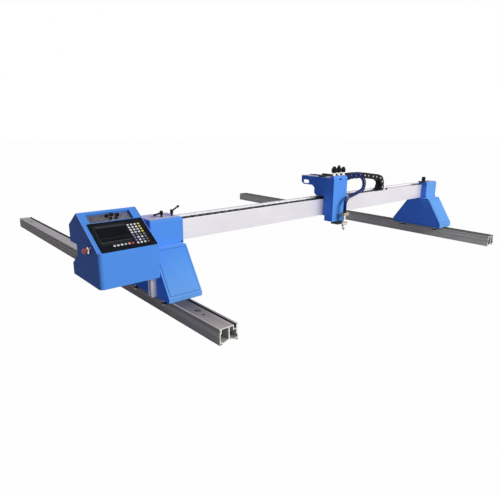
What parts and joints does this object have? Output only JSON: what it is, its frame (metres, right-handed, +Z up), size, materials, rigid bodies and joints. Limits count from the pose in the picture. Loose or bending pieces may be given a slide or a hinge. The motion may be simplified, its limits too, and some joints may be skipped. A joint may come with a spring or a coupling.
{
  "type": "portable CNC plasma cutter",
  "caption": "Portable gantry cutting machine: floor rails, a beam on roller carriages, a sloped operator console and a torch carriage with gas valves and motorised lift.",
  "frame": {"origin": "middle of the bounding box on the floor under the rails", "axes": "+X along the beam from the console to the end carriage, +Y along the rails away from the operator, +Z up"},
  "size_m": [3.026, 3, 0.639],
  "materials": {
    "rail_alloy": "mill",
    "steel": "ground",
    "roller_steel": "blackened",
    "blue_paint": "semi-gloss powder coat",
    "bracket_alloy": "satin",
    "beam_alloy": "satin anodised",
    "motor_black": "matt",
    "black_plastic": "fine grain",
    "panel_black": "membrane",
    "screen_glass": "polished",
    "red_plastic": "gloss",
    "grey_plastic": "gloss",
    "supply_metal": "mill",
    "board_green": "board lacquer",
    "valve_metal": "polished",
    "brass": "machined",
    "hose_rubber": "smooth",
    "screw_steel": "black oxide"
  },
  "bodies": {
    "rails": {"main_rail": "rail_alloy", "idle_rail": "rail_alloy", "main_rack": "steel"},
    "gantry": {"beam_rack": "steel", "roller_axles": "steel", "host_base_plate": "steel", "end_base_plate": "steel", "host_shroud": "blue_paint", "host_beam_socket": "blue_paint", "end_shroud": "blue_paint", "end_beam_socket": "blue_paint", "console_shell": "blue_paint", "console_back_cover": "blue_paint", "console_bracket": "bracket_alloy", "beam": "beam_alloy", "y_gearmotor": "motor_black", "end_clamp_plate": "motor_black", "panel_sockets": "black_plastic", "button_collars": "black_plastic", "chain_lower_run": "black_plastic", "controller_panel": "panel_black", "display_glass": "screen_glass", "power_supply": "supply_metal", "driver_board": "board_green", "cover_screws": "screw_steel"},
    "y_pinion": {"y_pinion": "steel"},
    "x_pinion": {"x_pinion": "steel"},
    "carriage_roller_left": {"carriage_roller_left": "roller_steel"},
    "carriage_roller_right": {"carriage_roller_right": "roller_steel"},
    "clamp_lever_left": {"clamp_lever_left": "black_plastic"},
    "clamp_lever_right": {"clamp_lever_right": "black_plastic"},
    "end_clamp_knob": {"end_clamp_knob": "black_plastic"},
    "estop_plunger": {"estop_plunger": "black_plastic"},
    "estop_head": {"estop_head": "red_plastic"},
    "power_button": {"power_button": "grey_plastic"},
    "chain_loop": {"chain_loop": "black_plastic"},
    "valve_knob_left": {"valve_knob_left": "black_plastic"},
    "valve_knob_middle": {"valve_knob_middle": "black_plastic"},
    "valve_knob_right": {"valve_knob_right": "black_plastic"},
    "z_screw": {"z_screw": "steel"},
    "torch_clamp_knob": {"torch_clamp_knob": "black_plastic"},
    "lifter": {"lifter_slide": "steel", "torch_holder": "bracket_alloy", "torch_body": "brass", "torch_nozzle": "brass"},
    "torch_carriage": {"carriage_housing": "blue_paint", "carriage_plate": "steel", "x_gearmotor": "motor_black", "chain_upper_run": "black_plastic", "valve_block": "valve_metal", "z_motor": "motor_black", "z_guide_rods": "steel", "torch_hose": "hose_rubber", "torch_lead": "hose_rubber"},
    "host_roller_front": {"host_roller_front": "roller_steel"},
    "host_roller_rear": {"host_roller_rear": "roller_steel"},
    "host_roller_side": {"host_roller_side": "roller_steel"},
    "end_roller_front": {"end_roller_front": "roller_steel"},
    "end_roller_rear": {"end_roller_rear": "roller_steel"},
    "end_roller_side": {"end_roller_side": "roller_steel"}
  },
  "joints": [
    {"name": "gantry_travel", "type": "slide", "parent": "rails", "child": "gantry", "axis": [0, 1, 0], "range_m": [-0.32, 2.16]},
    {"name": "cross_travel", "type": "slide", "parent": "gantry", "child": "torch_carriage", "axis": [1, 0, 0], "range_m": [-1.05, 0.6], "deforming": ["chain_lower_run", "chain_upper_run"]},
    {"name": "torch_lift", "type": "slide", "parent": "torch_carriage", "child": "lifter", "axis": [0, 0, 1], "range_m": [-0.13, 0], "deforming": ["torch_hose", "torch_lead"]},
    {"name": "chain_travel", "type": "slide", "parent": "gantry", "child": "chain_loop", "axis": [1, 0, 0], "range_m": [-0.53, 0.31]},
    {"name": "y_pinion_spin", "type": "hinge", "parent": "gantry", "child": "y_pinion", "pos_m": [-1.09, -0.924, 0.091], "axis": [1, 0, 0], "continuous": true},
    {"name": "x_pinion_spin", "type": "hinge", "parent": "torch_carriage", "child": "x_pinion", "pos_m": [0.181, -0.855, 0.448], "axis": [0, 1, 0], "continuous": true},
    {"name": "z_screw_spin", "type": "hinge", "parent": "torch_carriage", "child": "z_screw", "pos_m": [0.181, -0.972, 0.4], "axis": [0, 0, 1], "continuous": true},
    {"name": "carriage_roller_left_spin", "type": "hinge", "parent": "torch_carriage", "child": "carriage_roller_left", "pos_m": [0.141, -0.925, 0.4323], "axis": [0, 1, 0], "continuous": true},
    {"name": "carriage_roller_right_spin", "type": "hinge", "parent": "torch_carriage", "child": "carriage_roller_right", "pos_m": [0.221, -0.925, 0.4323], "axis": [0, 1, 0], "continuous": true},
    {"name": "host_roller_front_spin", "type": "hinge", "parent": "gantry", "child": "host_roller_front", "pos_m": [-1.1808, -1.07, 0.062], "axis": [0, 0, 1], "continuous": true},
    {"name": "host_roller_rear_spin", "type": "hinge", "parent": "gantry", "child": "host_roller_rear", "pos_m": [-1.1808, -0.78, 0.062], "axis": [0, 0, 1], "continuous": true},
    {"name": "host_roller_side_spin", "type": "hinge", "parent": "gantry", "child": "host_roller_side", "pos_m": [-1.0632, -0.925, 0.038], "axis": [0, 0, 1], "continuous": true},
    {"name": "end_roller_front_spin", "type": "hinge", "parent": "gantry", "child": "end_roller_front", "pos_m": [1.3712, -1.07, 0.062], "axis": [0, 0, 1], "continuous": true},
    {"name": "end_roller_rear_spin", "type": "hinge", "parent": "gantry", "child": "end_roller_rear", "pos_m": [1.3712, -0.78, 0.062], "axis": [0, 0, 1], "continuous": true},
    {"name": "end_roller_side_spin", "type": "hinge", "parent": "gantry", "child": "end_roller_side", "pos_m": [1.4888, -0.925, 0.038], "axis": [0, 0, 1], "continuous": true},
    {"name": "clamp_lever_left_turn", "type": "hinge", "parent": "gantry", "child": "clamp_lever_left", "pos_m": [-1.091, -0.923, 0.46], "axis": [0, 0, 1], "range_deg": [-60, 90]},
    {"name": "clamp_lever_right_turn", "type": "hinge", "parent": "gantry", "child": "clamp_lever_right", "pos_m": [-1.033, -0.923, 0.46], "axis": [0, 0, 1], "range_deg": [-90, 60]},
    {"name": "end_clamp_knob_turn", "type": "hinge", "parent": "gantry", "child": "end_clamp_knob", "pos_m": [1.381, -0.926, 0.46], "axis": [0, 0, 1], "range_deg": [0, 720]},
    {"name": "estop_press", "type": "slide", "parent": "gantry", "child": "estop_plunger", "axis": [1, 0, 0], "range_m": [0, 0.004], "stiffness_N_per_m": 400},
    {"name": "estop_twist", "type": "hinge", "parent": "estop_plunger", "child": "estop_head", "pos_m": [-1.495, -0.976, 0.353], "axis": [-1, 0, 0], "range_deg": [0, 45], "stiffness_Nm_per_rad": 0.02},
    {"name": "power_press", "type": "slide", "parent": "gantry", "child": "power_button", "axis": [1, 0, 0], "range_m": [0, 0.003], "stiffness_N_per_m": 300},
    {"name": "valve_left_turn", "type": "hinge", "parent": "torch_carriage", "child": "valve_knob_left", "pos_m": [0.135, -0.99, 0.6], "axis": [0, 0, 1], "range_deg": [0, 540]},
    {"name": "valve_middle_turn", "type": "hinge", "parent": "torch_carriage", "child": "valve_knob_middle", "pos_m": [0.181, -0.99, 0.6], "axis": [0, 0, 1], "range_deg": [0, 540]},
    {"name": "valve_right_turn", "type": "hinge", "parent": "torch_carriage", "child": "valve_knob_right", "pos_m": [0.227, -0.99, 0.6], "axis": [0, 0, 1], "range_deg": [0, 540]},
    {"name": "torch_clamp_turn", "type": "hinge", "parent": "lifter", "child": "torch_clamp_knob", "pos_m": [0.139, -1, 0.268], "axis": [1, 0, 0], "range_deg": [0, 360]}
  ],
  "couplings": [
    {"joint": "chain_travel", "follows": "cross_travel", "ratio": 0.5},
    {"joint": "y_pinion_spin", "follows": "gantry_travel", "rad_per_m": -44.444},
    {"joint": "x_pinion_spin", "follows": "cross_travel", "rad_per_m": 55.556},
    {"joint": "z_screw_spin", "follows": "torch_lift", "rad_per_m": -628.32},
    {"joint": "carriage_roller_left_spin", "follows": "cross_travel", "rad_per_m": 83.333},
    {"joint": "carriage_roller_right_spin", "follows": "cross_travel", "rad_per_m": 83.333},
    {"joint": "host_roller_front_spin", "follows": "gantry_travel", "rad_per_m": -76.923},
    {"joint": "host_roller_rear_spin", "follows": "gantry_travel", "rad_per_m": -76.923},
    {"joint": "host_roller_side_spin", "follows": "gantry_travel", "rad_per_m": 76.923},
    {"joint": "end_roller_front_spin", "follows": "gantry_travel", "rad_per_m": -76.923},
    {"joint": "end_roller_rear_spin", "follows": "gantry_travel", "rad_per_m": -76.923},
    {"joint": "end_roller_side_spin", "follows": "gantry_travel", "rad_per_m": 76.923}
  ]
}
